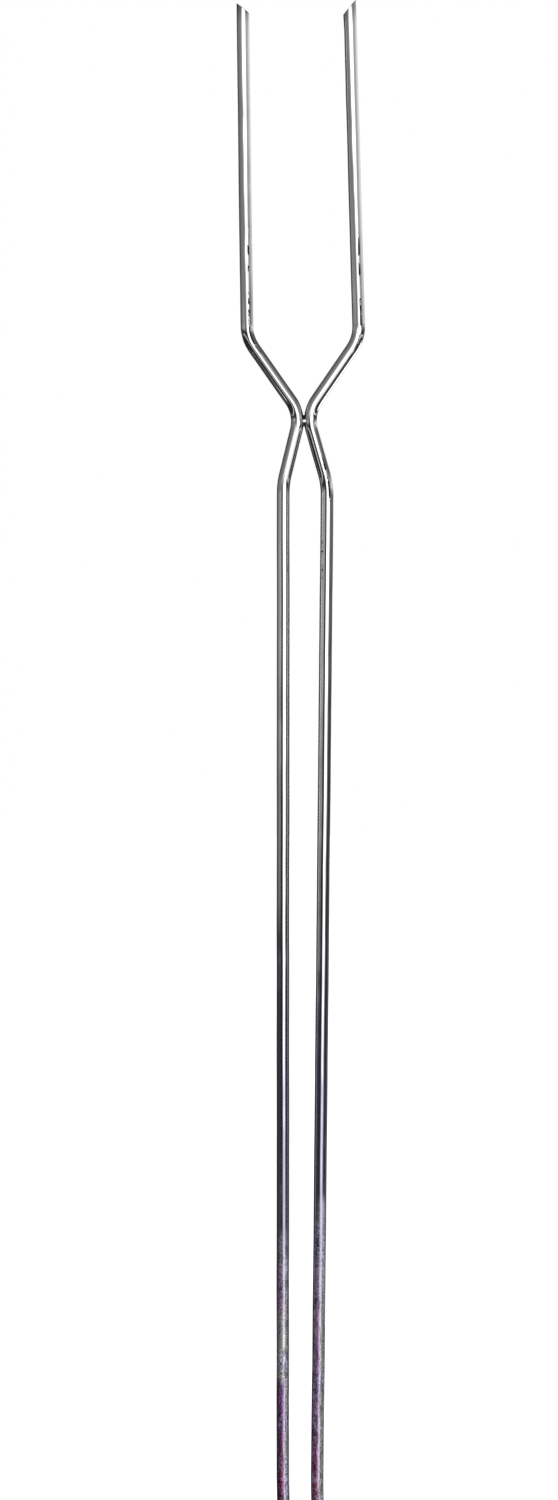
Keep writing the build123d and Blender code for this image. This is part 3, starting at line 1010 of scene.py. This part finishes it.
def make_bail(material):
    """The hanging bail: a wire loop whose ends turn into the sleeve."""
    low = BAIL_LOW.z + BAIL_R
    corners = [
        (BAIL_END_X, PIVOT_Z),
        (BAIL_HALF_SPAN, PIVOT_Z),
        (BAIL_HALF_SPAN, low),
        (-BAIL_HALF_SPAN, low),
        (-BAIL_HALF_SPAN, PIVOT_Z),
        (-BAIL_END_X, PIVOT_Z),
    ]
    radii = (BAIL_CORNER_R, BAIL_HALF_SPAN, BAIL_HALF_SPAN, BAIL_CORNER_R)
    path = bent_path(corners, radii, BAIL_STEP)
    vertices, faces, straight = sweep_wire(path, BAIL_R, BAIL_SIDES)
    last_ring = (len(path) - 1) * BAIL_SIDES
    close_end(vertices, faces, straight, last_ring, BAIL_SIDES, WIRE_END_ROUNDING, Vector((1, 0, 0)))
    close_end(vertices, faces, straight, 0, BAIL_SIDES, WIRE_END_ROUNDING, Vector((-1, 0, 0)))
    piece = add_piece("bail_loop", vertices, faces, material, "bail", "hang_bail")
    store_straight(piece, straight)


# ---------------------------------------------------------------------------------------------
# Studio: floor, sky, the light tent that polished metal reflects, and the camera
# ---------------------------------------------------------------------------------------------

# What the tent's wall shows at each height, from below the fork up, as (azimuth, brightness) in
# degrees and linear light. Azimuth 0 is towards the camera and 90 to the right.
SHADED = [(-180, 0.7), (-160, 0.7), (-140, 0.02), (-28, 0.02), (-10, 0.9), (30, 0.9),
          (48, 0.03), (110, 0.03), (118, 3.0), (130, 3.0), (140, 0.03), (160, 0.7), (180, 0.7)]
TENT = {
    "bench": (-1.12, [(-180, 0.6), (-160, 0.6), (-140, 0.05), (-66, 0.05), (-52, 4.0), (-38, 4.0),
                      (-24, 0.1), (-10, 0.8), (30, 0.8), (48, 0.1), (106, 0.05), (118, 3.0), (130, 3.0),
                      (144, 0.1), (160, 0.6), (180, 0.6)]),
    "shade": (-1.04, SHADED),
    "under": (-0.45, SHADED),
    "table": (-0.2, [(-180, 0.7), (-160, 0.7), (-140, 0.02), (-28, 0.02), (-10, 0.9), (30, 0.9),
                     (48, 0.03), (140, 0.03), (160, 0.7), (180, 0.7)]),
    "collar": (0.03, [(-180, 0.15), (-106, 0.12), (-84, 0.2), (-47, 0.62), (-31, 0.75), (-10, 0.62),
                      (12, 0.85), (28, 1.2), (42, 1.15), (84, 0.68), (106, 0.36), (130, 0.4), (180, 0.4)]),
    "lower_shaft": (0.10, [(-180, 0.03), (-60, 0.04), (-30, 0.02), (-10, 0.03), (14, 0.8),
                           (30, 0.72), (46, 0.14), (60, 0.03), (86, 0.02), (110, 0.1), (180, 0.1)]),
    "middle_shaft": (0.23, [(-180, 0.03), (-60, 0.04), (-30, 0.02), (-8, 0.03), (10, 1.6),
                            (28, 1.5), (44, 0.14), (60, 0.03), (86, 0.02), (110, 0.1), (180, 0.1)]),
    "upper_shaft": (0.31, [(-180, 0.03), (-105, 0.09), (-64, 0.22), (-48, 0.17), (-36, 0.025),
                           (-14, 0.02), (-4, 0.22), (8, 1.8), (30, 1.8), (47, 0.42), (62, 0.07), (86, 0.02),
                           (180, 0.12)]),
    "neck": (0.45, [(-180, 0.03), (-130, 0.05), (-100, 0.18), (-48, 0.42), (-36, 0.3), (-28, 0.03),
                    (-12, 0.03), (-1, 0.5), (8, 3.0), (33, 3.0), (50, 0.3), (70, 0.13), (180, 0.1)]),
    "shoulders": (0.61, [(-180, 0.03), (-120, 0.06), (-95, 0.15), (-45, 0.2), (-30, 0.16), (-16, 0.25),
                         (0, 0.9), (8, 1.3), (24, 1.3), (42, 0.5), (60, 0.12), (84, 0.18), (106, 0.42),
                         (180, 0.5)]),
    "points": (0.74, [(-180, 0.04), (-125, 0.07), (-95, 0.18), (-48, 0.22), (-34, 0.32), (-20, 1.0),
                      (-8, 2.4), (22, 2.4), (42, 0.5), (58, 0.34), (84, 0.5), (110, 0.75), (180, 0.8)]),
    "ceiling": (1.35, [(-180, 0.05), (-100, 0.1), (-45, 0.2), (-10, 0.5), (30, 0.5), (50, 0.2),
                       (90, 0.08), (180, 0.05)]),
}
TENT_RADIUS = 3.0
TENT_BRIGHTEST = 4.0
FLOOR_SIZE = 80
FLOOR_BELOW_FORK = 0.2 * MM
FLOOR_GREY = (0.82, 0.82, 0.82)
FLOOR_GLOW = 0.6
WHITE = (1, 1, 1)
SKY_LIGHT = 0.75
SOFTBOX_SIZE = 1.2
SOFTBOX_POWER = 30
SOFTBOX_PLACE = (-1.2, -1.6, 2.0)
SOFTBOX_AIM = (0, 0, 0.15)
FRAME_HEIGHT = 0.375
FRAME_CENTRE = Vector((-0.0059, 0, 0.3591))
LENS = 240
SENSOR = 36
FAR_CLIP = 200


def tent_material():
    """Light that only reflections see: bands by azimuth that change with height."""
    material, tree = new_material("tent_light")
    x, y, z = split_axes(tree, add(tree, "NewGeometry").outputs["Position"])[:3]
    azimuth = maths(tree, "ARCTAN2", x, maths(tree, "MULTIPLY", y, -1.0))
    turn = maths(tree, "MULTIPLY_ADD", azimuth, 0.5 / math.pi, 0.5)
    light, last = None, None
    for level, bands in TENT.values():
        ramp = add(tree, "ValToRGB", {"Fac": turn})
        stops = ramp.color_ramp.elements
        while len(stops) < len(bands):
            stops.new(0.5)
        for stop, (angle, brightness) in zip(stops, bands):
            stop.position = angle / 360 + 0.5
            stop.color = (brightness / TENT_BRIGHTEST,) * 3 + (1,)
        if light is None:
            light = ramp.outputs[0]
        else:
            light = tint(tree, fade(tree, z, last, level), light, ramp.outputs[0])
        last = level
    output(tree, add(tree, "Emission", {"Color": light, "Strength": TENT_BRIGHTEST}).outputs[0])
    material.cycles.emission_sampling = "NONE"
    return material


def make_tent():
    """A sphere round the fork, seen only in reflections."""
    middle = (0, 0, (cad_box[0].z + cad_box[1].z) / 2)
    bpy.ops.mesh.primitive_uv_sphere_add(segments=96, ring_count=48, radius=TENT_RADIUS, location=middle)
    tent = bpy.context.object
    tent.name = "light_tent"
    tent.data.materials.append(tent_material())
    tent.visible_camera = False
    tent.visible_diffuse = False
    tent.visible_shadow = False
    tent.visible_transmission = False


def make_floor():
    """A seamless pale floor, lit from within like a shooting table."""
    bpy.ops.mesh.primitive_plane_add(size=FLOOR_SIZE, location=(0, 0, cad_box[0].z - FLOOR_BELOW_FORK))
    floor = bpy.context.object
    floor.name = "floor"
    material, tree = new_material("pale_floor")
    lit = add(tree, "BsdfDiffuse", {"Color": FLOOR_GREY}).outputs[0]
    glow = add(tree, "Emission", {"Color": WHITE, "Strength": FLOOR_GLOW}).outputs[0]
    output(tree, add(tree, "AddShader", {0: lit, 1: glow}).outputs[0])
    floor.data.materials.append(material)
    floor.visible_glossy = False


def make_sky():
    """White to the camera, and a soft even light to everything else."""
    world = bpy.data.worlds.new("studio")
    bpy.context.scene.world = world
    world.use_nodes = True
    tree = world.node_tree
    tree.nodes.clear()
    camera_ray = add(tree, "LightPath").outputs["Is Camera Ray"]
    seen = add(tree, "Background", {"Color": WHITE, "Strength": 1.0}).outputs[0]
    soft = add(tree, "Background", {"Color": WHITE, "Strength": SKY_LIGHT}).outputs[0]
    mixed = add(tree, "MixShader", {0: camera_ray, 1: soft, 2: seen}).outputs[0]
    add(tree, "OutputWorld", {"Surface": mixed})


def make_key_light():
    """One large softbox, up and to the left of the camera."""
    light = bpy.data.lights.new("softbox", "AREA")
    light.shape, light.size, light.energy = "SQUARE", SOFTBOX_SIZE, SOFTBOX_POWER
    holder = bpy.data.objects.new("softbox", light)
    bpy.context.scene.collection.objects.link(holder)
    holder.location = SOFTBOX_PLACE
    aim = Vector(SOFTBOX_AIM) - holder.location
    holder.rotation_euler = aim.to_track_quat("-Z", "Y").to_euler()
    holder.visible_glossy = False
    holder.visible_camera = False


def make_camera():
    """A long lens, level with the middle of the wires that it frames."""
    data = bpy.data.cameras.new("camera")
    data.lens, data.sensor_width = LENS, SENSOR
    camera = bpy.data.objects.new("camera", data)
    bpy.context.scene.collection.objects.link(camera)
    distance = FRAME_HEIGHT / 2 / (SENSOR / 2 / LENS)
    camera.location = FRAME_CENTRE - Vector((0, distance, 0))
    camera.rotation_euler = (math.pi / 2, 0, 0)
    data.clip_end = FAR_CLIP
    bpy.context.scene.camera = camera
    bpy.context.scene.view_settings.view_transform = "Standard"


wire_material = bright_wire()
brass = aged_brass()
make_wire(1, wire_material)
make_wire(-1, wire_material)
make_weld(weld_steel())
make_grip(turned_wood())
make_ferrule(plated_steel())
make_rivets(brass)
make_washers(brass)
make_brads(brass)
make_sleeve(brass)
make_bail(bail_steel())
make_tent()
make_floor()
make_sky()
make_key_light()
make_camera()
